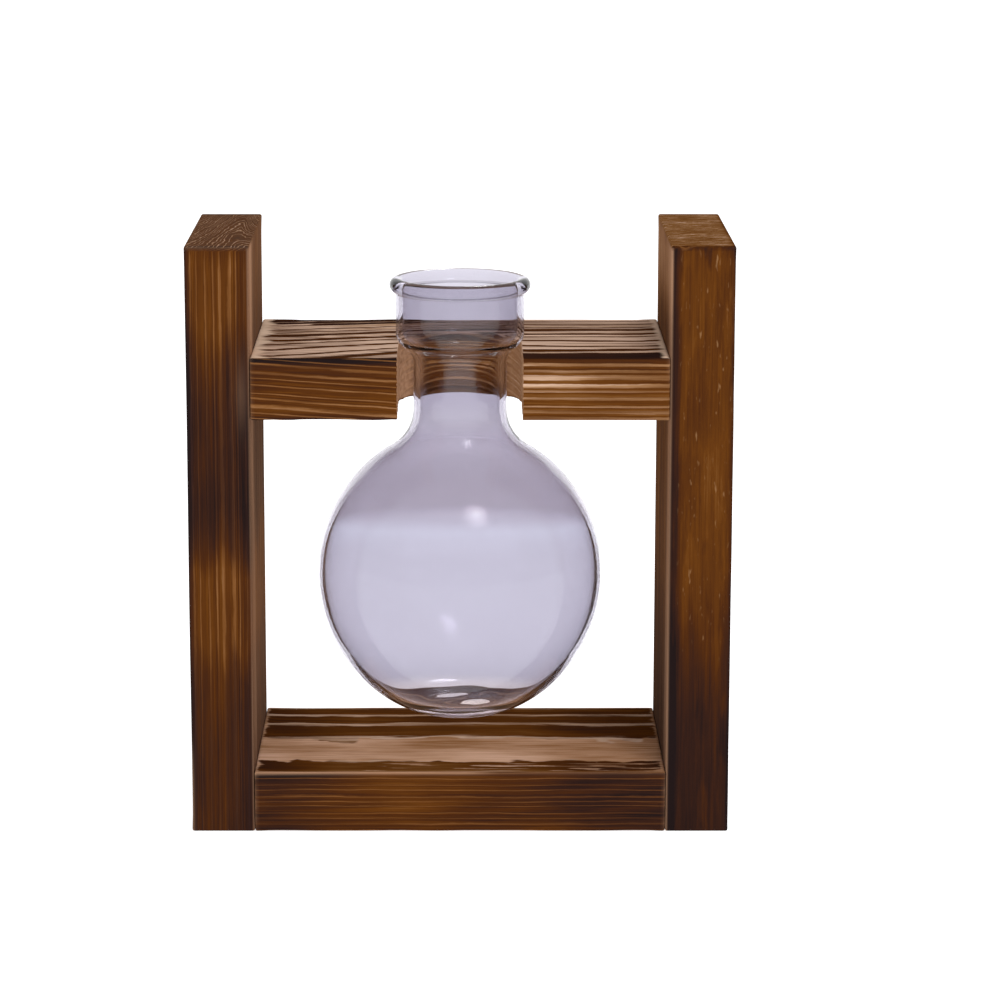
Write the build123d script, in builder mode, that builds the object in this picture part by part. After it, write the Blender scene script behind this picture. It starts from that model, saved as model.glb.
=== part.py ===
from build123d import *
import os
from math import asin, atan2, degrees, hypot, radians, sqrt, tan

# A propagation vase: a blown glass vessel hangs by its shoulder in the slotted crossbar of a torched timber stand.
# Lengths are in millimetres. The origin is on the table, under the middle of the stand: +X right, +Y back, +Z up.

os.makedirs("parts", exist_ok=True)

# Glass vessel
bulb_radius = 40.1
bulb_half_height = 41.7
bulb_foot_radius = 11.2  # flat foot, before its edge is rounded
foot_round = 20.0
neck_radius = 13.1
neck_drop = 9.3  # neck between the bulb and the crossbar's underside
neck_root_round = 13.0
glass_wall = 1.9
glass_floor = 3.6
cup_overhang = 0.8  # how far the cup stands out past the slot's edge
cup_rise = 18.5  # from the crossbar's top to the top of the lip
shoulder_drop = 3.2  # cone between the neck and the cup
shoulder_round_share = 0.92  # of the largest rounds that fit on the cone
lip_projection = 1.75
lip_height = 4.2
lip_root_round = 0.6
lip_inner_round = 0.5

# Stand
post_thickness = 17.6
rail_thickness = 17.2
board_depth = 70.0
board_arris = 0.6
post_rise = 30.8  # posts above the crossbar's top
slot_width = 34.4
slot_setback = 27.0  # from the crossbar's front edge to the centre of the slot's round end

# Room between the vessel and the stand
bulb_side_gap = 17.3
bulb_floor_gap = 11.05
seat_gap = 0.5

# Countersunk wood screws, two at each end of each rail
screw_spacing = 40.0
screw_length = 35.0
shank_radius = 1.45
core_radius = 1.3
thread_radius = 2.0
thread_pitch = 1.8
thread_length = 20.0
thread_root_share = 0.5  # of the pitch
thread_sink = 0.25  # root of the thread inside the core
thread_run_out = 1.0
tip_length = 3.5
head_radius = 3.8
head_rim = 0.4
head_angle = 90.0
head_recess = 0.3
drive_width = 1.1
drive_length = 4.4
drive_depth = 1.7
drive_taper = 12.0
head_gap = 0.15
clearance_gap = 0.25
pilot_gap = 0.05
pilot_overrun = 1.5

cut_overrun = 1.0

# Heights on the vessel and the stand, from the table up
foot_height = rail_thickness + bulb_floor_gap
bulb_height = foot_height + bulb_half_height * sqrt(1 - (bulb_foot_radius / bulb_radius) ** 2)
neck_root_height = bulb_height + bulb_half_height * sqrt(1 - (neck_radius / bulb_radius) ** 2)
crossbar_bottom = neck_root_height + neck_drop
crossbar_top = crossbar_bottom + rail_thickness
lip_top = crossbar_top + cup_rise
post_height = crossbar_top + post_rise
base_screw_height = rail_thickness / 2
crossbar_screw_height = crossbar_bottom + rail_thickness / 2

# Half spans and depths
rail_half_length = bulb_radius + bulb_side_gap
stand_half_width = rail_half_length + post_thickness
vessel_y = slot_setback - board_depth / 2

# The vessel's shoulder is a cone with a round at each end, and its upper round sits on the slot's edge
slot_radius = slot_width / 2
cup_radius = slot_radius + cup_overhang
shoulder_slant = hypot(cup_radius - neck_radius, shoulder_drop)
shoulder_half_turn = tan(atan2(cup_radius - neck_radius, shoulder_drop) / 2)
shoulder_round = shoulder_round_share * shoulder_slant / (2 * shoulder_half_turn)
seat_drop = sqrt(shoulder_round**2 - (shoulder_round - cup_overhang) ** 2)
shoulder_top = crossbar_top + seat_gap + seat_drop - shoulder_round * shoulder_half_turn

# Lip, a bead that the cup's wall ends in
bead_radius = lip_height / 2
bead_height = lip_top - bead_radius
bead_ring_radius = cup_radius + lip_projection - bead_radius

# Screws and their holes
head_depth = head_rim + (head_radius - shank_radius) / tan(radians(head_angle / 2))
sink_radius = head_radius + head_rim + head_recess + head_gap
pilot_depth = screw_length + head_recess - post_thickness + pilot_overrun
core_bottom = tip_length - screw_length
core_top = thread_length - screw_length

vessel_plane = Plane(origin=(0, vessel_y, 0), x_dir=(1, 0, 0), z_dir=(0, -1, 0))
vessel_axis = Axis((0, vessel_y, 0), (0, 0, 1))


def facing(side, half_span, height):
    """Plane square to X at the left (-1) or right (1) end of a span, facing out, with its own X along the depth."""
    return Plane(origin=(side * half_span, 0, height), x_dir=(0, 1, 0), z_dir=(side, 0, 0))


def make_post(side):
    """Upright board on the left (-1) or right (1), with countersunk screw holes from its outer face."""
    with BuildPart() as board:
        with BuildSketch():
            with Locations((side * (stand_half_width - post_thickness / 2), 0)):
                Rectangle(post_thickness, board_depth)
        extrude(amount=post_height)
        fillet(board.edges(), board_arris)
        for height in (base_screw_height, crossbar_screw_height):
            with Locations(facing(side, stand_half_width, height)):
                with GridLocations(screw_spacing, 0, 2, 1):
                    CounterSinkHole(
                        thread_radius + clearance_gap,
                        sink_radius,
                        depth=post_thickness + cut_overrun,
                        counter_sink_angle=head_angle,
                    )
    return board.part


def drill_ends(height):
    """Pilot holes for the screws in both ends of the rail that is being built."""
    for side in (-1, 1):
        with Locations(facing(side, rail_half_length, height)):
            with GridLocations(screw_spacing, 0, 2, 1):
                Hole(core_radius + pilot_gap, depth=pilot_depth)


def ring_at(form, radius, height):
    """The level circular edge of a turned form that passes nearest to a radius and a height."""
    rings = form.edges().filter_by(GeomType.CIRCLE).filter_by(Plane.XY)
    return rings.sort_by_distance((radius, vessel_y, height))[0]


def turn_vessel(inset, floor, mouth):
    """The vessel as a solid form, inset from its outer face, from a floor height up to a mouth height."""
    bulb_width, bulb_reach = bulb_radius - inset, bulb_half_height - inset
    floor_radius = bulb_width * sqrt(1 - ((bulb_height - floor) / bulb_reach) ** 2)
    neck = neck_radius - inset
    neck_root = bulb_height + bulb_reach * sqrt(1 - (neck / bulb_width) ** 2)
    cup = cup_radius - inset
    cup_foot = shoulder_top + inset * shoulder_half_turn
    neck_end = cup_foot - shoulder_drop
    floor_angle = degrees(asin((floor - bulb_height) / bulb_reach))
    neck_angle = degrees(asin((neck_root - bulb_height) / bulb_reach))
    with BuildPart() as form:
        with BuildSketch(vessel_plane):
            with BuildLine():
                EllipticalCenterArc(
                    (0, bulb_height), bulb_width, bulb_reach, floor_angle, arc_size=neck_angle - floor_angle
                )
                Polyline(
                    (neck, neck_root),
                    (neck, neck_end),
                    (cup, cup_foot),
                    (cup, mouth),
                    (0, mouth),
                    (0, floor),
                    (floor_radius, floor),
                )
            make_face()
        revolve(axis=vessel_axis)
        fillet(ring_at(form, floor_radius, floor), foot_round)
        fillet(ring_at(form, neck, neck_root), neck_root_round + inset)
        fillet(ring_at(form, neck, neck_end), shoulder_round + inset)
        fillet(ring_at(form, cup, cup_foot), shoulder_round - inset)
    return form.part


# Left and right posts
for post_name, post_side in (("left_post", -1), ("right_post", 1)):
    post = make_post(post_side)
    post.label = post_name
    export_step(post, f"parts/{post_name}.step")

# Base rail
with BuildPart() as base_rail:
    with BuildSketch():
        Rectangle(2 * rail_half_length, board_depth)
    extrude(amount=rail_thickness)
    fillet(base_rail.edges().filter_by(Axis.X), board_arris)
    drill_ends(base_screw_height)
base_rail.part.label = "base_rail"
export_step(base_rail.part, "parts/base_rail.step")

# Crossbar, with a round-ended slot cut in from its front edge
with BuildPart() as crossbar:
    with BuildSketch(Plane.XY.offset(crossbar_bottom)):
        Rectangle(2 * rail_half_length, board_depth)
        with Locations((0, vessel_y)):
            Circle(slot_radius, mode=Mode.SUBTRACT)
            Rectangle(slot_width, slot_setback + cut_overrun, align=(Align.CENTER, Align.MAX), mode=Mode.SUBTRACT)
    extrude(amount=rail_thickness)
    fillet(crossbar.edges().filter_by(Axis.X), board_arris)
    drill_ends(crossbar_screw_height)
crossbar.part.label = "crossbar"
export_step(crossbar.part, "parts/crossbar.step")

# Glass vessel: the outer form with a bead for its lip, less the hollow
with BuildPart() as glass_vessel:
    add(turn_vessel(0, foot_height, bead_height))
    with BuildSketch(vessel_plane):
        with Locations((bead_ring_radius, bead_height)):
            Circle(bead_radius)
    revolve(axis=vessel_axis)
    fillet(ring_at(glass_vessel, cup_radius, bead_height - bead_radius), lip_root_round)
    add(turn_vessel(glass_wall, foot_height + glass_floor, lip_top + cut_overrun), mode=Mode.SUBTRACT)
    fillet(ring_at(glass_vessel, cup_radius - glass_wall, lip_top), lip_inner_round)
glass_vessel.part.label = "glass_vessel"
export_step(glass_vessel.part, "parts/glass_vessel.step")

# Wood screw, with the face of its head on the XY plane and its point below
with BuildPart() as wood_screw:
    with BuildSketch(Plane.XZ):
        with BuildLine():
            Polyline(
                (0, 0),
                (head_radius, 0),
                (head_radius, -head_rim),
                (shank_radius, -head_depth),
                (shank_radius, core_top),
                (core_radius, core_top),
                (core_radius, core_bottom),
                (0, -screw_length),
                close=True,
            )
        make_face()
    revolve(axis=Axis.Z)
    with BuildSketch():
        Rectangle(drive_length, drive_width)
        Rectangle(drive_width, drive_length)
    extrude(amount=-drive_depth, taper=drive_taper, mode=Mode.SUBTRACT)
    with BuildLine(Plane.XY.offset(core_bottom + thread_run_out)) as thread_path:
        Helix(thread_pitch, core_top - core_bottom - 2 * thread_run_out, core_radius)
    with BuildSketch(Plane(thread_path.line @ 0, x_dir=(1, 0, 0), z_dir=thread_path.line % 0)):
        with BuildLine():
            Polyline(
                (-thread_sink, -thread_pitch * thread_root_share / 2),
                (thread_radius - core_radius, 0),
                (-thread_sink, thread_pitch * thread_root_share / 2),
                close=True,
            )
        make_face()
    sweep(path=thread_path.line, is_frenet=True)

# Eight screws, each seated in its countersink
for rail_name, screw_height in (("base", base_screw_height), ("crossbar", crossbar_screw_height)):
    for side_name, screw_side in (("left", -1), ("right", 1)):
        head_plane = facing(screw_side, stand_half_width - head_recess, screw_height)
        for row_name, screw_y in (("front", -screw_spacing / 2), ("back", screw_spacing / 2)):
            with BuildPart() as screw:
                with Locations(head_plane * Location((screw_y, 0, 0))):
                    add(wood_screw.part)
            screw.part.label = f"{rail_name}_screw_{side_name}_{row_name}"
            export_step(screw.part, f"parts/{screw.part.label}.step")
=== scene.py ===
import math
from functools import partial

import bpy
import numpy as np
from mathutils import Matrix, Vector


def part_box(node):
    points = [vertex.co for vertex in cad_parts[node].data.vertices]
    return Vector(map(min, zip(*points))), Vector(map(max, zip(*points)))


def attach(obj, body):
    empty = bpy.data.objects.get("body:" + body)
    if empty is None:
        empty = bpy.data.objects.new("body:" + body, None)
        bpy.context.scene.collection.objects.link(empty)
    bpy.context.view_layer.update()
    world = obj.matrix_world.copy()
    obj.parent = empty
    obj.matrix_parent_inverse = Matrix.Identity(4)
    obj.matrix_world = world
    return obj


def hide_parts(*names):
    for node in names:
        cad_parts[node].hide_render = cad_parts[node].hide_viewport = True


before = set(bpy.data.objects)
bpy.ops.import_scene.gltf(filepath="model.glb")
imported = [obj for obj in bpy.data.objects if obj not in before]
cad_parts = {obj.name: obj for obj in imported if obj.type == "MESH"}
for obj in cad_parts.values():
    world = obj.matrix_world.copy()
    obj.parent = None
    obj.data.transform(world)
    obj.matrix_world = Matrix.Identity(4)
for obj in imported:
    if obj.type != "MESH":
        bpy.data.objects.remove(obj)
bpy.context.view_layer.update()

# A propagation vase: a blown glass vessel hung in a stand of torched softwood boards.
# Shapes are worked out in millimetres, as the CAD is, and turned into metres where a mesh is made.
# +X is to the right, +Y to the back and +Z up, from the middle of the stand's underside.
MM = 0.001
X_AXIS = 0
Z_AXIS = 2

# Stand, at the CAD's sizes
STAND_SIDE = 75.0
RAIL_END = 57.4
BOARD_FRONT = -35.0
POST_TOP = 165.0
RAIL_TOP = 17.2
BAR_FOOT = 117.0
BAR_TOP = 134.2
ARRIS = 0.6
SLOT_RADIUS = 17.2
SLOT_Y = -8.0
SLOT_FRONT = -36.5
CUT_OVERRUN = 1.0

# Holes for the screws, at the CAD's sizes
SCREW_Y = (-20.0, 20.0)
BASE_SCREW_Z = 8.6
BAR_SCREW_Z = 125.603
HOLE_RADIUS = 2.25
SINK_RADIUS = 4.65
PILOT_RADIUS = 1.35
PILOT_DEPTH = 19.2

# Vessel, at the CAD's sizes
WALL = 1.9
FOOT_Z = 28.25
FLOOR_Z = 31.85
FOOT_ROUND = 20.0
FOOT_ROUND_X = 7.7
FLOOR_ROUND_X = 10.14
BULB_Z = 68.29
BULB_RADIUS = 40.1
BULB_HALF_HEIGHT = 41.7
NECK_RADIUS = 13.1
NECK_ROUND = 13.0
NECK_FOOT = 115.93
NECK_TOP = 128.82
SHOULDER_ROUND = 4.973
SHOULDER_TURN = 56.9
CUP_RADIUS = 18.0
CUP_FOOT = 137.41
CUP_TOP = 148.076
LIP_CENTER = (17.65, 150.603)
LIP_RADIUS = 2.1
LIP_ROOT_ROUND = 0.6
LIP_INNER_ROUND = 0.5
LIP_INNER_Z = 151.81

# How finely the meshes are cut; a board has one or more rounds of cuts along each axis
ARRIS_STEPS = 3
END_BAND = 1.4
SHORTEST_CUT = 1.8
PARALLEL = 0.999
POST_CUTS = ((58,), (13, 15), (54,))
RAIL_CUTS = ((44,), (13, 15), (56,))
DRILL_STEPS = 36
DRILL_WELD = 0.001
SLOT_ROUND_POINTS = 49
SLOT_SIDE_POINTS = 28
SLOT_LEVELS = 60
SPIN_STEPS = 192
VESSEL_WELD = 0.01
SMOOTH_ANGLE = 55

# Grain: relief between the rings, and how ragged and uneven they are
RELIEF = 0.22
CREST_WIDTH = 0.17
UNEVEN = ((0.15, 2.3), (0.09, 5.2))  # size and pace of two waves
SIDE_JITTER = 0.42
END_JITTER_DROP = 0.34

# How far inside a face its own look starts, and how far inside it is full
INNER_FADE = (0.8, 0.1)
RAIL_FADE = (0.9, 0.3)

# Pith of each board, on X and Y in the posts and on Y and Z in the rails, and the rings' width
LEFT_PITH = (-53.2, -36.0)
LEFT_PITH_FLATTENING = 0.25
LEFT_RING = 2.15
RIGHT_PITH = (63.2, 70.0)
RIGHT_RING = 2.4
BASE_PITH = (-10.0, -132.8)
BASE_RING = 2.0
BASE_CREST = 150.25  # distance from the pith to the crest of one ring
BAR_PITH = (-70.0, 374.2)
BAR_RING = 1.9

# How far the posts are burnt, by height, and how the crossbar and its slot are burnt and rubbed, by place on X
LEFT_SCORCH = [
    (0, 0.7),
    (30, 0.7),
    (46, 0.64),
    (54, 0.46),
    (74, 0.46),
    (82, 0.7),
    (94, 0.84),
    (116, 0.82),
    (134, 0.66),
    (144, 0.5),
    (160, 0.47),
    (165, 0.52),
]
RIGHT_SCORCH = [
    (0, 0.82),
    (30, 0.8),
    (48, 0.7),
    (68, 0.5),
    (110, 0.46),
    (150, 0.46),
    (163, 0.5),
    (165, 0.7),
]
BAR_SCORCH = [(-57, 0.63), (-20, 0.54), (17, 0.4), (57, 0.46)]
BAR_HARD = [(-57, 0.46), (-20, 0.4), (17, 0.2), (57, 0.26)]
BAR_SHARE = [(-20, 0.18), (17, 0.42)]
SLOT_WEAR = [(-1, 0.85), (1, 0.5)]

# Colours of the wood, from pale to burnt
SOFT_COLORS = [
    (0.0, (0.3, 0.155, 0.075)),
    (0.2, (0.19, 0.08, 0.022)),
    (0.4, (0.112, 0.036, 0.0058)),
    (0.6, (0.064, 0.0195, 0.0052)),
    (0.8, (0.033, 0.0125, 0.0078)),
    (1.0, (0.014, 0.0082, 0.008)),
]
HARD_COLORS = [
    (0.0, (0.64, 0.44, 0.325)),
    (0.2, (0.32, 0.17, 0.08)),
    (0.45, (0.185, 0.074, 0.021)),
    (0.7, (0.085, 0.031, 0.011)),
    (1.0, (0.03, 0.0135, 0.011)),
]
TAN = [(0.38, (0.27, 0.12, 0.045)), (0.5, (0.5, 0.285, 0.17)), (0.62, (0.7, 0.44, 0.31))]
PALE = [(0.3, (0.5, 0.33, 0.22)), (0.7, (0.78, 0.58, 0.43))]
WORN = (0.42, 0.235, 0.14, 1.0)
FLECK = (0.33, 0.18, 0.08, 1.0)

# Patterns in the wood: turns a metre along and across the grain, detail and roughness
FIBRE = (45, 2200, 4.0, 0.65)
STREAK = (16, 700, 2.0, 0.5)
BLOTCH = (24, 85, 3.0, 0.5)
RAGGED = (75, 560, 4.0, 0.62)
SHOWING = (20, 330, 3.0, 0.6)
DOTS = (330, 1100, 1.0, 0.5)

# What the patterns do: a line through one has a gain and a start, and a smooth rise has a start and an end
CREST_SHARE_BY_STREAK = (1.2, 0.4)
CREST_FADE_OUTSIDE = 0.17
CREST_FADE_INSIDE = 0.12
SHOWING_RISE = (0.3, 0.62)
CREST_BY_SHOWING = (0.7, 0.3)
FIBRE_DRIFT = 0.34
STREAK_DRIFT = 0.3
BLOTCH_DRIFT = 0.4
RING_DRIFT = 0.35
RING_PACE = 0.8
RUB_BY_STREAK = (1.2, 0.3)
FRAY_BY_RAGGED = 0.8
FRAY_BY_STREAK = 0.7
BARE_RISE = (0.36, 0.74)
DOTS_RISE = (0.66, 0.84)
DOTS_ON_PALE_WOOD = (0.75, 0.5)
ROUGHNESS_BY_FIBRE = (0.2, 0.36)
FIBRE_BUMP = 0.4
FIBRE_HEIGHT = 0.00012

# Tint of the glass by height, painted backdrop light: the lavender cast, its darker and paler bands and a
# painted highlight band at 81.5 mm stand in for the backdrop seen through clear glass;
# its levels slope down to the back, about as the camera's line of sight does, so that the line across the bulb
# is one line on its front and back walls
GLASS_PAINTED_BACKDROP_TINTS = [
    (31.5, (1.0, 0.93, 0.88)),
    (36.5, (0.655, 0.642, 0.708)),
    (74, (0.655, 0.644, 0.708)),
    (81.5, (0.69, 0.685, 0.755)),
    (86, (0.565, 0.537, 0.597)),
    (94, (0.565, 0.537, 0.597)),
    (106, (0.615, 0.59, 0.655)),
    (112, (0.615, 0.595, 0.655)),
    (120, (0.585, 0.565, 0.635)),
    (125, (0.97, 0.94, 0.91)),
    (133, (0.97, 0.94, 0.91)),
    (138, (0.59, 0.572, 0.638)),
]
PAINTED_BACKDROP_TOP = 155.0
PAINTED_BACKDROP_SLOPE = 0.15

# Glass: it bends light less than real glass, and a clear coat adds gloss
GLASS_IOR = 1.15
COAT_WEIGHT = 0.4
COAT_IOR = 1.5
COAT_ROUGHNESS = 0.12
GLASS_ABSORBS = (0.5, 0.45, 0.6, 1.0)
GLASS_DENSITY = 40.0
SMEARS = ((60, 60, 40), 3.0, 0.5)
SMEAR_ROUGHNESS = [(0.45, 0.0), (0.8, 0.05)]
WAVES = ((70, 70, 45), 1.0, 0.4)
WAVE_BUMP = 0.12
WAVE_HEIGHT = 0.001

# Zinc
ZINC_PATCHES = ((900, 900, 900), 4.0, 0.6)
ZINC_COLORS = [(0.3, (0.13, 0.12, 0.105)), (0.7, (0.26, 0.245, 0.215))]
ZINC_ROUGHNESS = [(0.3, 0.5), (0.75, 0.26)]
ZINC_BUMP = 0.2
ZINC_HEIGHT = 0.00005

# Floor, light and camera, in metres, watts and degrees
FLOOR_SIZE = 60
FLOOR_GLOW = 0.72
ROOM_WALLS = [
    (0.14, (1.3, 1.3, 1.3)),
    (0.24, (0.95, 0.95, 0.96)),
    (0.7, (0.9, 0.9, 0.92)),
    (0.9, (0.6, 0.6, 0.62)),
]
ROOM_STRENGTH = 0.8
LAMPS_FACE = Vector((0.0, -0.008, 0.07))
KEY_PLACE = Vector((0.27, -0.71, 1.11))
KEY_SIZE = 0.42
KEY_POWER = 5.4
GLINTS = ((0.06, 11.0), (0.12, 5.0), (0.3, 1.6))  # size and brightness of each
GLINT_STEP = 0.01
BACK_PLACE = (0.08, 0.9, 0.85)
BACK_SIZE = 0.14
BACK_POWER = 1.0
CAMERA_PLACE = (0.0, -1.0146, 0.2985)
CAMERA_TILT = 78.254
CAMERA_SHIFT = 0.04
LENS = 131.04
SENSOR = 36.0
CLIP_END = 100.0


# Meshes
def only(obj):
    """Makes obj the one selected and active object."""
    bpy.ops.object.select_all(action="DESELECT")
    obj.select_set(True)
    bpy.context.view_layer.objects.active = obj


def edit(select=None):
    """Goes into edit mode with everything selected, or with one kind of element to be selected."""
    bpy.ops.object.mode_set(mode="EDIT")
    bpy.ops.mesh.select_mode(type=select or "VERT")
    bpy.ops.mesh.select_all(action="DESELECT" if select else "SELECT")


def add_mesh(name, points, edges=(), faces=()):
    """A new object from points in millimetres, left in edit mode with everything selected."""
    mesh = bpy.data.meshes.new(name)
    mesh.from_pydata([[number * MM for number in point] for point in points], edges, faces)
    obj = bpy.data.objects.new(name, mesh)
    bpy.context.scene.collection.objects.link(obj)
    only(obj)
    edit()
    return obj


def in_a_row(points):
    """Edges that join points one after another."""
    return [(i, i + 1) for i in range(len(points) - 1)]


def close_up(weld=0.0):
    """Joins points that lie within a distance, turns the faces outward and leaves edit mode."""
    bpy.ops.mesh.select_all(action="SELECT")
    if weld:
        bpy.ops.mesh.remove_doubles(threshold=weld * MM)
    bpy.ops.mesh.normals_make_consistent(inside=False)
    bpy.ops.object.mode_set(mode="OBJECT")


def coords(obj):
    """Vertex places in millimetres."""
    flat = np.empty(len(obj.data.vertices) * 3, np.float32)
    obj.data.vertices.foreach_get("co", flat)
    return flat.reshape(-1, 3).astype(float) / MM


def normals(obj):
    """Vertex normals."""
    flat = np.empty(len(obj.data.vertices) * 3, np.float32)
    obj.data.vertex_normals.foreach_get("vector", flat)
    return flat.reshape(-1, 3).astype(float)


def place(obj, points):
    """Moves the vertices to places in millimetres."""
    obj.data.vertices.foreach_set("co", (points * MM).astype(np.float32).ravel())
    obj.data.update()


def keep(obj, name, values):
    """Stores one number a vertex, for the material to read."""
    attribute = obj.data.attributes.new(name, "FLOAT", "POINT")
    attribute.data.foreach_set("value", np.full(len(obj.data.vertices), values, np.float32))


def cut_along(obj, axis, cuts):
    """Divides every edge that runs along an axis, apart from the shortest ones."""
    only(obj)
    edit("EDGE")
    bpy.ops.object.mode_set(mode="OBJECT")
    points = coords(obj)
    ends = np.empty(len(obj.data.edges) * 2, np.int32)
    obj.data.edges.foreach_get("vertices", ends)
    run = np.abs(points[ends[1::2]] - points[ends[0::2]])
    parallel = run[:, axis] > PARALLEL * np.linalg.norm(run, axis=1)
    obj.data.edges.foreach_set("select", parallel & (run[:, axis] > SHORTEST_CUT))
    bpy.ops.object.mode_set(mode="EDIT")
    bpy.ops.mesh.subdivide(number_cuts=cuts)
    bpy.ops.object.mode_set(mode="OBJECT")


def plank(name, node, along, cuts):
    """A board the size of its CAD node, with eased arrises, cut finely for grain that runs along an axis."""
    low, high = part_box(node)
    bpy.ops.object.select_all(action="DESELECT")
    bpy.ops.mesh.primitive_cube_add(size=1, location=(low + high) / 2)
    board = bpy.context.object
    board.name = name
    board.scale = high - low
    bpy.ops.object.transform_apply(location=True, rotation=False, scale=True)
    edit()
    bpy.ops.mesh.bevel(offset=ARRIS * MM, segments=ARRIS_STEPS, affect="EDGES")
    grain = Vector([axis == along for axis in range(3)])
    for end, step in ((low, END_BAND * MM), (high, -END_BAND * MM)):
        bpy.ops.mesh.select_all(action="SELECT")
        bpy.ops.mesh.bisect(plane_co=end + grain * step, plane_no=grain)
    bpy.ops.object.mode_set(mode="OBJECT")
    for axis, rounds in enumerate(cuts):
        for count in rounds:
            cut_along(board, axis, count)
    return board


def drill(profile, y, z):
    """A round cutter along X, spun from a profile of (radius, place on X)."""
    points = [(x, y, z + radius) for radius, x in profile]
    cutter = add_mesh("drill", points, in_a_row(points))
    bpy.ops.mesh.spin(steps=DRILL_STEPS, angle=2 * math.pi, center=(0, y * MM, z * MM), axis=(1, 0, 0))
    close_up(DRILL_WELD)
    return cutter


def slot_cutter(low, high):
    """The crossbar's slot: a half round with straight sides that run out of the front edge."""
    turn = np.linspace(0, math.pi, SLOT_ROUND_POINTS)
    sides = np.linspace(SLOT_Y, SLOT_FRONT, SLOT_SIDE_POINTS)[1:]
    outline = [(SLOT_RADIUS, y) for y in sides[::-1]]
    outline += [(SLOT_RADIUS * math.cos(a), SLOT_Y + SLOT_RADIUS * math.sin(a)) for a in turn]
    outline += [(-SLOT_RADIUS, y) for y in sides]
    cutter = add_mesh("slot_cutter", [(x, y, low) for x, y in outline], faces=[range(len(outline))])
    bpy.ops.mesh.extrude_region_move(TRANSFORM_OT_translate={"value": (0, 0, (high - low) * MM)})
    close_up()
    cut_along(cutter, Z_AXIS, SLOT_LEVELS)
    return cutter


def carve(board, cutters):
    """Takes the cutters, which stand clear of each other, out of a board."""
    only(cutters[0])
    for cutter in cutters[1:]:
        cutter.select_set(True)
    bpy.ops.object.join()
    only(board)
    modifier = board.modifiers.new("cut", "BOOLEAN")
    modifier.object = cutters[0]
    modifier.operation = "DIFFERENCE"
    modifier.solver = "EXACT"
    bpy.ops.object.modifier_apply(modifier=modifier.name)
    bpy.data.objects.remove(cutters[0])


def finish_piece(piece, node, body, material):
    """Gives a piece its material, and puts it in its CAD node's place."""
    piece.data.materials.clear()
    piece.data.materials.append(material)
    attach(piece, body)
    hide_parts(node)


# Fields over a board, worked out for all its vertices at once
def ease(values, start, end):
    """0 before start, 1 after end, with a smooth rise between them."""
    t = np.clip((values - start) / (end - start), 0, 1)
    return t * t * (3 - 2 * t)


def at_face(values, face, fade=1.0, edge=0.2):
    """1 on a board's face and 0 from a little way inside it, with values that rise towards the face."""
    return ease(values, face - fade, face - edge)


def near(reach, *offsets):
    """1 on a line, falling off over a reach; the offsets are distances from the line along each axis."""
    return np.exp(-sum(np.square(offset) for offset in offsets) / reach**2)


def follow(values, stops):
    """A value that follows stops of (place, value), from low to high."""
    return np.interp(values, [stop[0] for stop in stops], [stop[1] for stop in stops])


def waves(points, seed, sizes, count=6):
    """Smooth random values, mostly from -1 to 1, that change over these distances along X, Y and Z."""
    rng = np.random.default_rng(seed)
    total = np.zeros(len(points))
    for _ in range(count):
        pace = rng.normal(size=3) / np.asarray(sizes)
        total += np.sin(2 * math.pi * (points @ pace) + rng.uniform(0, 2 * math.pi))
    return total / math.sqrt(2 * count)


def from_pith(across, deep, pith, flattening=1.0):
    """Distance from the pith, which lies along the grain at a place on the two other axes."""
    return np.hypot(across - pith[0], flattening * (deep - pith[1]))


def uneven(ring, seed):
    """The same rings, at uneven distances."""
    starts = np.random.default_rng(seed).uniform(0, 2 * math.pi, len(UNEVEN))
    moved = ring
    for (size, pace), start in zip(UNEVEN, starts):
        moved = moved + size * np.sin(pace * ring + start)
    return moved


def raise_grain(board, depth, ring, share, soft, hard, wear, bare=0.0, end_grain=0.0):
    """Sinks the soft wood between the hard crests of the rings, and stores what the material reads.

    Share is how much of a ring is crest; soft and hard are how far each is burnt; wear is how far the burnt
    wood is rubbed; bare is where the flame did not reach; end grain has less ragged rings.
    """
    phase = ring - np.floor(ring)
    crest = np.exp(-(((phase - 0.5) / CREST_WIDTH) ** 2))
    place(board, coords(board) - normals(board) * (depth * (1 - crest))[:, None])
    keep(board, "ring", ring)
    keep(board, "jitter", SIDE_JITTER - END_JITTER_DROP * end_grain)
    keep(board, "share", share)
    keep(board, "soft", soft)
    keep(board, "hard", hard)
    keep(board, "wear", wear)
    keep(board, "bare", bare)
    only(board)
    bpy.ops.object.shade_smooth_by_angle(angle=math.radians(SMOOTH_ANGLE))


# Shader nodes
def add_node(tree, kind, settings=None, **inputs):
    """Adds a shader node; an input is a number, a colour or the socket that feeds it."""
    node = tree.nodes.new(kind)
    for key, value in (settings or {}).items():
        setattr(node, key, value)
    for key, value in inputs.items():
        index = int(key[1:]) if key[1:].isdigit() else key.replace("_", " ")
        if isinstance(value, bpy.types.NodeSocket):
            tree.links.new(value, node.inputs[index])
        else:
            node.inputs[index].default_value = value
    return node


def math_node(tree, operation, a, b=0.0, clamp=False):
    """One sum on two numbers or sockets."""
    settings = {"operation": operation, "use_clamp": clamp}
    return add_node(tree, "ShaderNodeMath", settings, i0=a, i1=b).outputs[0]


def mix_colors(tree, factor, a, b):
    """Colour a where the factor is 0, and b where it is 1; a mix node has its colours on inputs 6 and 7."""
    node = add_node(tree, "ShaderNodeMix", {"data_type": "RGBA"}, i0=factor, i6=a, i7=b)
    return node.outputs[2]


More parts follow.
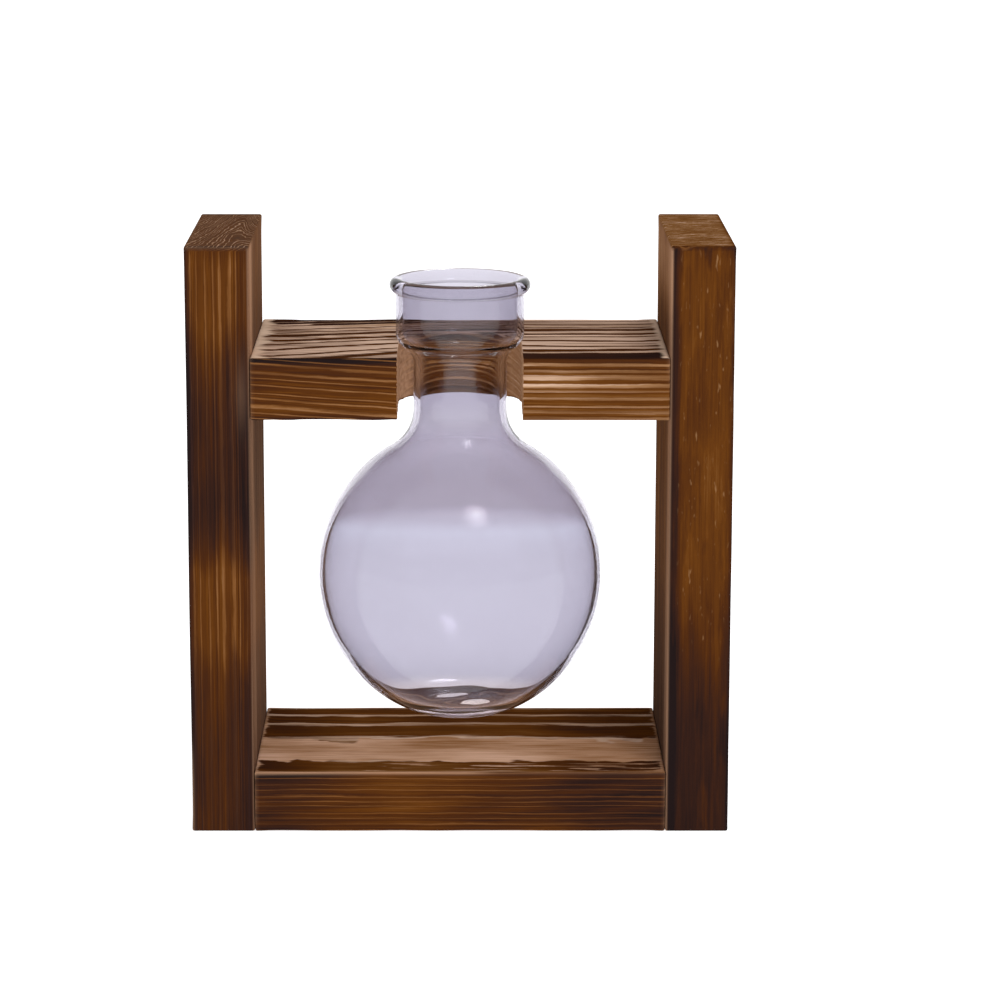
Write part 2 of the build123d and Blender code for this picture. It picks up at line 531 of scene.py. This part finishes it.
def ramp(tree, factor, stops, interpolation="EASE"):
    """Colours, or levels of grey, along stops of (position, colour)."""
    node = add_node(tree, "ShaderNodeValToRGB", None, i0=factor)
    node.color_ramp.interpolation = interpolation
    while len(node.color_ramp.elements) < len(stops):
        node.color_ramp.elements.new(1.0)
    for element, (position, color) in zip(node.color_ramp.elements, stops):
        element.position = position
        element.color = (*color, 1.0) if isinstance(color, tuple) else (color, color, color, 1.0)
    return node.outputs[0]


def stretched_noise(tree, spot, scale, detail, roughness):
    """Noise with its own number of turns a metre along each axis."""
    mapping = add_node(tree, "ShaderNodeMapping", None, Vector=spot, Scale=scale)
    noise = add_node(tree, "ShaderNodeTexNoise", None, Vector=mapping.outputs[0], Scale=1.0)
    noise.inputs["Detail"].default_value = detail
    noise.inputs["Roughness"].default_value = roughness
    return noise.outputs[0]


def new_material(name):
    """A material, its node tree, its shader and the place on the piece."""
    material = bpy.data.materials.new(name)
    material.use_nodes = True
    tree = material.node_tree
    spot = add_node(tree, "ShaderNodeTexCoord").outputs["Object"]
    return material, tree, tree.nodes["Principled BSDF"], spot


# Materials
def torched_wood(name, along, bare_colors=TAN, flecks=0.0):
    """Burnt and brushed softwood without gloss, with its grain along one axis."""
    material, tree, shader, spot = new_material(name)
    calc = partial(math_node, tree)
    ring, jitter, share, soft, hard, wear, bare = (
        add_node(tree, "ShaderNodeAttribute", {"attribute_name": key}).outputs["Fac"]
        for key in ("ring", "jitter", "share", "soft", "hard", "wear", "bare")
    )

    def noise(lengthwise, across, detail, roughness):
        """Noise that is drawn out along the grain."""
        scale = tuple(lengthwise if axis == along else across for axis in range(3))
        return stretched_noise(tree, spot, scale, detail, roughness)

    def swing(value, amount):
        """A value from 0 to 1, as a swing to both sides of zero."""
        return calc("MULTIPLY", calc("SUBTRACT", value, 0.5), amount)

    def scaled(value, gain, start):
        """A value times a gain, from a start."""
        return calc("ADD", start, calc("MULTIPLY", value, gain))

    def between(value, start, end):
        """0 at start and 1 at end, with a smooth rise between them."""
        settings = {"interpolation_type": "SMOOTHSTEP"}
        node = add_node(tree, "ShaderNodeMapRange", settings, Value=value, From_Min=start, From_Max=end)
        return node.outputs[0]

    # Rings, with a ragged edge and crests that come and go
    fibre = noise(*FIBRE)
    streak = noise(*STREAK)
    blotch = noise(*BLOTCH)
    ragged = noise(*RAGGED)
    shifted = calc("ADD", ring, swing(ragged, jitter))
    off_crest = calc("ABSOLUTE", calc("SUBTRACT", calc("FRACT", shifted), 0.5))
    off_crest = calc("MULTIPLY", off_crest, 2.0)
    width = calc("MULTIPLY", share, scaled(streak, *CREST_SHARE_BY_STREAK))
    crest_foot = calc("ADD", width, CREST_FADE_OUTSIDE)
    crest = between(off_crest, crest_foot, calc("SUBTRACT", width, CREST_FADE_INSIDE))
    showing = between(noise(*SHOWING), *SHOWING_RISE)
    crest = calc("MULTIPLY", crest, scaled(showing, *CREST_BY_SHOWING))

    # Burning, which drifts from fibre to fibre, from ring to ring and in blotches
    each_ring = add_node(tree, "ShaderNodeTexNoise", {"noise_dimensions": "1D"}, Detail=1.0)
    tree.links.new(calc("MULTIPLY", shifted, RING_PACE), each_ring.inputs["W"])
    fine_drift = calc("ADD", swing(fibre, FIBRE_DRIFT), swing(streak, STREAK_DRIFT))
    broad_drift = calc("ADD", swing(blotch, BLOTCH_DRIFT), swing(each_ring.outputs[0], RING_DRIFT))
    drift = calc("ADD", fine_drift, broad_drift)
    soft_color = ramp(tree, calc("ADD", soft, drift, clamp=True), SOFT_COLORS, "LINEAR")
    hard_color = ramp(tree, calc("ADD", hard, drift, clamp=True), HARD_COLORS, "LINEAR")
    color = mix_colors(tree, crest, soft_color, hard_color)

    # Rubbed edges, bare wood with a frayed edge, and pale flecks
    rubbed = calc("MULTIPLY", wear, scaled(streak, *RUB_BY_STREAK), clamp=True)
    color = mix_colors(tree, rubbed, color, WORN)
    frayed = calc("ADD", swing(ragged, FRAY_BY_RAGGED), swing(streak, FRAY_BY_STREAK))
    unburnt = between(calc("ADD", bare, frayed), *BARE_RISE)
    patchy = calc("ADD", calc("MULTIPLY", fibre, 0.5), calc("MULTIPLY", blotch, 0.5))
    color = mix_colors(tree, unburnt, color, ramp(tree, patchy, bare_colors, "LINEAR"))
    if flecks:
        dots = between(noise(*DOTS), *DOTS_RISE)
        dots = calc("MULTIPLY", dots, between(soft, *DOTS_ON_PALE_WOOD))
        color = mix_colors(tree, calc("MULTIPLY", dots, flecks), color, FLECK)
    tree.links.new(color, shader.inputs["Base Color"])

    tree.links.new(scaled(fibre, *ROUGHNESS_BY_FIBRE), shader.inputs["Roughness"])
    shader.inputs["Specular IOR Level"].default_value = 0.0
    bump = add_node(tree, "ShaderNodeBump", None, Strength=FIBRE_BUMP, Distance=FIBRE_HEIGHT, Height=fibre)
    tree.links.new(bump.outputs[0], shader.inputs["Normal"])
    return material


def glass_with_painted_backdrop(name):
    """Clear glass with painted backdrop light, a lavender cast with darker and paler bands by height and a
    painted highlight band, and with faint waves and a few smears.
    """
    material, tree, shader, spot = new_material(name)
    calc = partial(math_node, tree)
    at = add_node(tree, "ShaderNodeSeparateXYZ", None, Vector=spot).outputs
    # Painted backdrop light: levels by height, sloped like the line of sight, pick the lavender cast, its
    # darker and paler bands and a painted highlight band
    behind = calc("MULTIPLY", calc("SUBTRACT", at["Y"], SLOT_Y * MM), PAINTED_BACKDROP_SLOPE)
    level = calc("DIVIDE", calc("ADD", at["Z"], behind), PAINTED_BACKDROP_TOP * MM)
    painted_backdrop = ramp(tree, level, [(z / PAINTED_BACKDROP_TOP, color) for z, color in GLASS_PAINTED_BACKDROP_TINTS])
    tree.links.new(painted_backdrop, shader.inputs["Base Color"])
    shader.inputs["Transmission Weight"].default_value = 1.0
    shader.inputs["IOR"].default_value = GLASS_IOR
    shader.inputs["Coat Weight"].default_value = COAT_WEIGHT
    shader.inputs["Coat IOR"].default_value = COAT_IOR
    shader.inputs["Coat Roughness"].default_value = COAT_ROUGHNESS
    smear = stretched_noise(tree, spot, *SMEARS)
    tree.links.new(ramp(tree, smear, SMEAR_ROUGHNESS, "LINEAR"), shader.inputs["Roughness"])
    wave = stretched_noise(tree, spot, *WAVES)
    bump = add_node(tree, "ShaderNodeBump", None, Strength=WAVE_BUMP, Distance=WAVE_HEIGHT, Height=wave)
    tree.links.new(bump.outputs[0], shader.inputs["Normal"])
    volume = add_node(tree, "ShaderNodeVolumeAbsorption", None, Color=GLASS_ABSORBS, Density=GLASS_DENSITY)
    tree.links.new(volume.outputs[0], tree.nodes["Material Output"].inputs["Volume"])
    return material


def zinc(name):
    """Zinc-plated steel, dulled in patches."""
    material, tree, shader, spot = new_material(name)
    patches = stretched_noise(tree, spot, *ZINC_PATCHES)
    tree.links.new(ramp(tree, patches, ZINC_COLORS, "LINEAR"), shader.inputs["Base Color"])
    tree.links.new(ramp(tree, patches, ZINC_ROUGHNESS, "LINEAR"), shader.inputs["Roughness"])
    shader.inputs["Metallic"].default_value = 1.0
    bump = add_node(tree, "ShaderNodeBump", None, Strength=ZINC_BUMP, Distance=ZINC_HEIGHT, Height=patches)
    tree.links.new(bump.outputs[0], shader.inputs["Normal"])
    return material


def floor_paint(name):
    """White paint that glows a little, so that the floor is as white as the photo's."""
    material = bpy.data.materials.new(name)
    material.use_nodes = True
    shader = material.node_tree.nodes["Principled BSDF"]
    shader.inputs["Base Color"].default_value = (0.92, 0.92, 0.92, 1.0)
    shader.inputs["Roughness"].default_value = 0.9
    shader.inputs["Specular IOR Level"].default_value = 0.1
    shader.inputs["Emission Color"].default_value = (1.0, 1.0, 1.0, 1.0)
    shader.inputs["Emission Strength"].default_value = FLOOR_GLOW
    return material


# Posts
def cut_post(name, node, side):
    """A post, with clearance holes and countersinks for its four screws."""
    post = plank(name, node, Z_AXIS, POST_CUTS)
    inside = side * (RAIL_END - CUT_OVERRUN)
    sink_foot = side * (STAND_SIDE - SINK_RADIUS + HOLE_RADIUS)
    outside = side * (STAND_SIDE + CUT_OVERRUN)
    hole = [(0, inside), (HOLE_RADIUS, inside), (HOLE_RADIUS, sink_foot)]
    sink = [(SINK_RADIUS + CUT_OVERRUN, outside), (0, outside)]
    carve(post, [drill(hole + sink, y, z) for z in (BASE_SCREW_Z, BAR_SCREW_Z) for y in SCREW_Y])
    return post


def make_left_post():
    """The left post: burnt at its foot and beside the crossbar, with its pith past the inner front edge."""
    post = cut_post("left_post_board", "left_post", -1)
    p = coords(post)
    x, y, z = p.T
    top = at_face(z, POST_TOP)
    inner = at_face(x, -RAIL_END, *INNER_FADE) * (1 - top)
    front = at_face(-y, -BOARD_FRONT) * (1 - top)
    off_ends = ease(np.minimum(z, POST_TOP - z), -1.0, 6.0)

    ring = from_pith(x, y, LEFT_PITH, LEFT_PITH_FLATTENING) / LEFT_RING + 0.12 * waves(p, 11, (16, 40, 150))
    sides = ease(-x, 63.0, STAND_SIDE) + ease(x, -62.0, -RAIL_END)
    ring = uneven(ring + 0.11 * (y - BOARD_FRONT) * sides, 15) * (1 + 0.5 * top)
    ring = ring + top * (0.22 * waves(p, 13, (9, 16, 90)) + 0.07 * waves(p, 14, (3, 6, 90)))

    scorch = follow(z + 5 * waves(p, 12, (9, 30, 60)), LEFT_SCORCH)
    scorch = scorch + 0.14 * ease(x, -62.0, -59.5) * front
    scorch = scorch + 0.3 * near(1.2, x + STAND_SIDE, 0.15 * (y - BOARD_FRONT))
    foot = 1 - ease(z, 30.0, 52.0)
    top_edge = near(0.8, y - BOARD_FRONT - 0.1, z - POST_TOP + 0.1)

    rubbed_foot = near(0.5, x + STAND_SIDE - 0.2, y - BOARD_FRONT - 0.2) * (1 - ease(z, 14, 30))
    rubbed_front = near(1.5, x + 59.8) * near(9.0, z - 124.0) * front
    rubbed_inner = inner * (0.3 + 0.7 * near(8.0, y + 25.0) * (0.3 + 0.7 * ease(z, 80, 140)))
    raise_grain(
        post,
        depth=RELIEF * (0.4 + 0.6 * scorch) * off_ends,
        ring=ring,
        share=0.22 - 0.09 * top - 0.2 * front * ease(z, 158.0, 163.6),
        soft=scorch * (1 - top) + 0.65 * top + 0.06 * inner + 0.3 * top_edge,
        hard=np.clip(scorch * 1.25 - 0.13 + 0.1 * foot, 0, 1) * (1 - top) + 0.15 * top + 0.12 * inner,
        wear=0.14 * top + 0.4 * rubbed_foot + 0.14 * rubbed_front + rubbed_inner,
        end_grain=top,
    )
    finish_piece(post, "left_post", "stand", torched_wood("left_post_wood", Z_AXIS))


def make_right_post():
    """The right post: burnt at its foot and along its inner edge, flecked, with wide flat rings."""
    post = cut_post("right_post_board", "right_post", 1)
    p = coords(post)
    x, y, z = p.T
    top = at_face(z, POST_TOP)
    inner = at_face(-x, -RAIL_END, *INNER_FADE) * (1 - top)
    front = at_face(-y, -BOARD_FRONT) * (1 - top)
    off_ends = ease(np.minimum(z, POST_TOP - z), -1.0, 6.0)

    ring = from_pith(x, y, RIGHT_PITH) / RIGHT_RING + 0.22 * waves(p, 21, (14, 40, 190))
    ring = uneven(ring + 0.3 * top * waves(p, 23, (5, 7, 90)), 25)

    scorch = follow(z + 6 * waves(p, 22, (9, 30, 60)), RIGHT_SCORCH)
    scorch = scorch + 0.42 * (1 - ease(x, 58.4, 61.2)) * front + 0.25 * near(1.0, x - STAND_SIDE) * front
    top_edge = 0.4 * near(0.7, y - BOARD_FRONT - 0.2, z - POST_TOP + 0.2)
    top_edge = top_edge + 0.3 * near(0.7, x - STAND_SIDE + 0.2, z - POST_TOP + 0.2)
    paler_inside = 0.3 * ease(z, 138, 156)
    raise_grain(
        post,
        depth=RELIEF * 0.5 * off_ends,
        ring=ring,
        share=0.3,
        soft=scorch * (1 - top) + 0.27 * top + inner * (0.22 - paler_inside) + top_edge,
        hard=np.clip(scorch - 0.02, 0, 1) * (1 - top) + 0.2 * top + inner * (0.15 - paler_inside) + top_edge,
        wear=inner * (0.14 + 0.45 * near(9.0, y + 33.0) + 0.3 * ease(z, 140, 158)),
    )
    wood = torched_wood("right_post_wood", Z_AXIS, flecks=0.5)
    finish_piece(post, "right_post", "stand", wood)


# Rails
def pilot_holes(z):
    """Cutters for the screws' pilot holes in both ends of a rail."""
    start = RAIL_END + CUT_OVERRUN
    end = RAIL_END - PILOT_DEPTH
    profile = [(0, start), (PILOT_RADIUS, start), (PILOT_RADIUS, end), (0, end)]
    return [drill([(r, side * along) for r, along in profile], y, z) for side in (-1, 1) for y in SCREW_Y]


def rubbed_tips(points, front, seed):
    """Where the front edges of a rail's ends are rubbed."""
    return near(0.5, np.abs(points[:, 0]) - RAIL_END) * front * (0.5 + 0.5 * waves(points, seed, (9, 9, 7)))


def make_base_rail():
    """The base rail: its top has long dark rings and a tan band that the flame did not reach."""
    rail = plank("base_rail_board", "base_rail", X_AXIS, RAIL_CUTS)
    carve(rail, pilot_holes(BASE_SCREW_Z))
    p = coords(rail)
    x, y, z = p.T
    front = at_face(-y, -BOARD_FRONT)
    top = at_face(z, RAIL_TOP, *RAIL_FADE) * (1 - front)
    ends = ease(np.abs(x + 8), 24, 46)

    wander = 0.17 * waves(p, 31, (44, 24, 40)) + 0.07 * waves(p, 34, (14, 10, 20))
    ring = (from_pith(y, z, BASE_PITH) - BASE_CREST + wander) / BASE_RING + 0.5
    ring = top * ring + (1 - top) * uneven(1.25 * ring, 35)

    scorch = 0.58 - 0.11 * top + (0.18 - 0.06 * top + 0.1 * ease(x, 20, 44) * front) * ends
    scorch = scorch + 0.06 * waves(p, 32, (60, 20, 20))
    scorch = scorch + 0.35 * near(3.0, z - RAIL_TOP) * ease(-x, 18, 42) * front
    scorch = scorch + 0.07 * waves(p, 37, (34, 20, 9)) * front
    front_band = ease(-y, 22, 24) * (0.2 * ends - 0.1) - 0.2 * ease(-y, 30, 33.5)
    scorch = scorch + top * front_band

    sawn_ends = ease(np.abs(x) + 0.4 * waves(p, 33, (30, 12, 30)), 54.5, 58.5)
    tongues = 1.4 * waves(p, 40, (11, 7, 30))
    tan_front = ease(y + tongues + 0.8 * waves(p, 38, (26, 14, 30)), -24.5, -22.0)
    notches = 3.4 * ease(waves(p, 48, (17, 60, 60)), 0.1, 0.5)
    tan_back = 1 - ease(y - tongues + 1.6 * waves(p, 39, (30, 14, 30)) + notches, -0.5, 2.5)
    streaks = ease(waves(p, 49, (40, 5, 60)), 0.0, 0.8) * ease(-y, 24.0, 26.0) * ease(x, -50.0, -30.0)
    bare = np.maximum(np.maximum(0.85 * tan_front * tan_back, 0.55 * streaks), sawn_ends)

    front_edge = near(0.6, y - BOARD_FRONT - 0.3, z - RAIL_TOP + 0.1) * (1 - 0.8 * ease(x, 0, 12))
    raise_grain(
        rail,
        depth=RELIEF * (1 - ease(np.abs(x), 52.5, 55.5)),
        ring=ring,
        share=top * (0.2 - 0.02 * ease(y, 4, 10)) + (1 - top) * 0.16,
        soft=scorch,
        hard=0.08 * top + (0.52 + 0.16 * ends) * (1 - top),
        wear=0.95 * front_edge + 0.35 * rubbed_tips(p, front, 36),
        bare=top * bare,
    )
    finish_piece(rail, "base_rail", "stand", torched_wood("base_rail_wood", X_AXIS))


def make_crossbar():
    """The crossbar, with its slot: pale and dark rings on top, and a front that is darker on the left."""
    bar = plank("crossbar_board", "crossbar", X_AXIS, RAIL_CUTS)
    low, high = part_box("crossbar")
    slot_cut = slot_cutter(low.z / MM - CUT_OVERRUN, high.z / MM + CUT_OVERRUN)
    carve(bar, [slot_cut] + pilot_holes(BAR_SCREW_Z))
    p = coords(bar)
    x, y, z = p.T
    front = at_face(-y, -BOARD_FRONT)
    top = at_face(z, BAR_TOP, *RAIL_FADE) * (1 - front)
    left = ease(-x, 0, 20)
    off_axis = np.where(y > SLOT_Y, np.hypot(x, y - SLOT_Y), np.abs(x))
    slot = 1 - ease(off_axis, SLOT_RADIUS + 0.1, SLOT_RADIUS + 0.5)
    slot = slot * ease(y - BOARD_FRONT, 0.2, 1.4) * ease(np.minimum(BAR_TOP - z, z - BAR_FOOT), 0.1, 0.7)
    cheek = slot * (1 - ease(y, SLOT_Y + 9, SLOT_Y + 14))

    lean = 0.6 * np.logaddexp(0, -(x + 5) / 8)
    wander = 0.2 * waves(p, 41, (90, 34, 30)) + 0.07 * waves(p, 44, (22, 12, 20))
    ring = uneven((from_pith(y, z, BAR_PITH) + lean + wander) / BAR_RING, 45)

    face = follow(x, BAR_SCORCH) + 0.05 * waves(p, 42, (50, 20, 20))
    front_edges = 0.5 * near(1.5, z - BAR_TOP) + 0.3 * near(1.0, z - BAR_FOOT)
    face = face + front * front_edges * (0.3 + 0.7 * left)
    band = left * ease(y, 24, 26) + (1 - left) * ease(-y, 23, 25) + left * ease(-y, 32.6, 33.6)
    band = np.clip(band, 0, 1)
    left_margin = ease(1.5 * waves(p, 43, (20, 10, 30)) - x, 49.0, 59.0)
    right_margin = ease(x + 0.5 * waves(p, 47, (20, 10, 30)), 53.0, 58.0)
    raise_grain(
        bar,
        depth=RELIEF * (1 - ease(np.abs(x), 50.5, 55.5)),
        ring=ring,
        share=top * (0.62 - 0.5 * band) + (1 - top) * follow(x, BAR_SHARE),
        soft=top * (0.58 + 0.2 * band) + (1 - top) * (face + slot * (0.13 - 0.37 * ease(x, 4, 12) * cheek)),
        hard=top * 0.1 * band + (1 - top) * follow(x, BAR_HARD),
        wear=follow(x, SLOT_WEAR) * cheek + 0.35 * rubbed_tips(p, front, 46),
        bare=top * np.maximum(left_margin, right_margin),
    )
    finish_piece(bar, "crossbar", "stand", torched_wood("crossbar_wood", X_AXIS, PALE))


# Vessel: a profile of arcs and straight runs, spun round the vessel's axis
def arc(center, radii, start, end, count):
    """Points on an arc, with angles in degrees."""
    turn = np.radians(np.linspace(start, end, count))
    return [(center[0] + radii[0] * math.cos(a), center[1] + radii[1] * math.sin(a)) for a in turn]


def rounding(center, radius, start, end, count):
    """Points on a circle's arc, with angles in degrees."""
    return arc(center, (radius, radius), start, end, count)


def straight(start, end, count):
    """Points between two others, without either."""
    return [tuple(np.add(start, np.subtract(end, start) * t)) for t in np.linspace(0, 1, count + 2)[1:-1]]


def vessel_profile():
    """Points of (radius, height): up the outside, over the lip and down the inside to the floor."""
    bulb = (0, BULB_Z)
    neck_root = (NECK_RADIUS + NECK_ROUND, NECK_FOOT)
    low_shoulder = (NECK_RADIUS + SHOULDER_ROUND, NECK_TOP)
    high_shoulder = (CUP_RADIUS - SHOULDER_ROUND, CUP_FOOT)
    lip_root = (CUP_RADIUS + LIP_ROOT_ROUND, CUP_TOP)
    neck_inside = NECK_RADIUS - WALL
    cup_inside = CUP_RADIUS - WALL
    lip_inside = (cup_inside + LIP_INNER_ROUND, LIP_INNER_Z)
    outside = (
        [(radius, FOOT_Z) for radius in (0.0, 2.0, 4.0, 6.0)]
        + rounding((FOOT_ROUND_X, FOOT_Z + FOOT_ROUND), FOOT_ROUND, -90, -63.6, 12)
        + arc(bulb, (BULB_RADIUS, BULB_HALF_HEIGHT), -65.0, 61.7, 70)
        + rounding(neck_root, NECK_ROUND, 236.0, 180, 16)
        + straight((NECK_RADIUS, NECK_FOOT), (NECK_RADIUS, NECK_TOP), 5)
        + rounding(low_shoulder, SHOULDER_ROUND, 180, 180 - SHOULDER_TURN, 10)
        + rounding(high_shoulder, SHOULDER_ROUND, -SHOULDER_TURN, 0, 10)
        + straight((CUP_RADIUS, CUP_FOOT), (CUP_RADIUS, CUP_TOP), 5)
        + rounding(lip_root, LIP_ROOT_ROUND, 180, 110.6, 5)
        + rounding(LIP_CENTER, LIP_RADIUS, -66.0, 128.0, 26)
    )
    inside = (
        rounding(lip_inside, LIP_INNER_ROUND, 131.0, 180, 4)
        + straight((cup_inside, LIP_INNER_Z), (cup_inside, CUP_FOOT), 6)
        + rounding(high_shoulder, SHOULDER_ROUND - WALL, 0, -SHOULDER_TURN, 9)
        + rounding(low_shoulder, SHOULDER_ROUND + WALL, 180 - SHOULDER_TURN, 180, 10)
        + straight((neck_inside, NECK_TOP), (neck_inside, NECK_FOOT), 5)
        + rounding(neck_root, NECK_ROUND + WALL, 180, 235.0, 16)
        + arc(bulb, (BULB_RADIUS - WALL, BULB_HALF_HEIGHT - WALL), 61.6, -57.0, 66)
        + rounding((FLOOR_ROUND_X, FLOOR_Z + FOOT_ROUND), FOOT_ROUND, -58.5, -90, 12)
        + [(radius, FLOOR_Z) for radius in (8.0, 6.0, 4.0, 2.0, 0.0)]
    )
    return outside + inside


def make_vessel():
    """The blown vessel, with an uneven floor inside; it casts no shadow on the wood, as in the photo."""
    points = [(radius, SLOT_Y, height) for radius, height in vessel_profile()]
    vessel = add_mesh("glass_vessel_blown", points, in_a_row(points))
    axis_at = (0, SLOT_Y * MM, 0)
    bpy.ops.mesh.spin(
        steps=SPIN_STEPS, angle=2 * math.pi, use_auto_merge=False, center=axis_at, axis=(0, 0, 1)
    )
    bpy.ops.mesh.select_all(action="SELECT")
    bpy.ops.mesh.faces_shade_smooth()
    close_up(VESSEL_WELD)
    p = coords(vessel)
    x, y, z = p.T
    floor_inside = (1 - ease(np.hypot(x, y - SLOT_Y), 6.0, 18.0)) * ease(z, 30.0, 31.5) * (z < 60.0)
    swirl = near(1.0, (x - 7.0) / 7.0, (y + 13.0) / 4.0)
    rise = floor_inside * (0.12 * waves(p, 51, (18, 18, 30)) + 0.5 * swirl)
    place(vessel, p + np.outer(rise, (0, 0, 1)))
    finish_piece(vessel, "glass_vessel", "vessel", glass_with_painted_backdrop("glass_with_painted_backdrop"))
    vessel.visible_shadow = False
    vessel.visible_diffuse = False


# Studio
def lay_floor():
    """A wide white floor, which is not part of the object."""
    bpy.ops.object.select_all(action="DESELECT")
    bpy.ops.mesh.primitive_plane_add(size=FLOOR_SIZE)
    floor = bpy.context.object
    floor.name = "floor"
    floor.data.materials.append(floor_paint("floor_paint"))


def light_room():
    """White walls, bright near the floor and duller overhead."""
    world = bpy.data.worlds.new("studio")
    bpy.context.scene.world = world
    world.use_nodes = True
    room = world.node_tree
    direction = add_node(room, "ShaderNodeTexCoord").outputs["Generated"]
    toward = add_node(room, "ShaderNodeSeparateXYZ", None, Vector=direction)
    background = room.nodes["Background"]
    room.links.new(ramp(room, toward.outputs["Z"], ROOM_WALLS), background.inputs["Color"])
    background.inputs["Strength"].default_value = ROOM_STRENGTH


def lamp(name, location, size, power, glints=True):
    """A round light that faces the bulb, seen either in reflections or by its light on what is dull."""
    light = bpy.data.lights.new(name, "AREA")
    light.shape = "DISK"
    light.size = size
    light.energy = power
    holder = bpy.data.objects.new(name, light)
    holder.location = location
    holder.rotation_euler = (LAMPS_FACE - Vector(location)).to_track_quat("-Z", "Y").to_euler()
    holder.visible_glossy = glints
    holder.visible_diffuse = not glints
    bpy.context.scene.collection.objects.link(holder)


def set_camera():
    """The camera, at the place solved from the photograph."""
    view = bpy.data.cameras.new("camera")
    view.sensor_width = SENSOR
    view.lens = LENS
    view.shift_x = CAMERA_SHIFT
    view.clip_end = CLIP_END
    camera = bpy.data.objects.new("camera", view)
    camera.location = CAMERA_PLACE
    camera.rotation_euler = (math.radians(CAMERA_TILT), 0.0, 0.0)
    bpy.context.scene.collection.objects.link(camera)
    bpy.context.scene.camera = camera
    bpy.context.scene.view_settings.view_transform = "Standard"


# The object
make_left_post()
make_right_post()
make_base_rail()
make_crossbar()
make_vessel()
steel = zinc("zinc_plate")
for name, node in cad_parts.items():
    if "_screw_" in name:
        node.data.materials.clear()
        node.data.materials.append(steel)

# Its surroundings: the key lights what is dull, and the glints stand in for it in the glass
lay_floor()
light_room()
lamp("key", KEY_PLACE, KEY_SIZE, KEY_POWER, glints=False)
for step, (size, glow) in enumerate(GLINTS):
    lamp(f"key_glint_{step}", KEY_PLACE * (1 + GLINT_STEP * step), size, glow * (math.pi * size / 2) ** 2)
lamp("back", BACK_PLACE, BACK_SIZE, BACK_POWER)
set_camera()
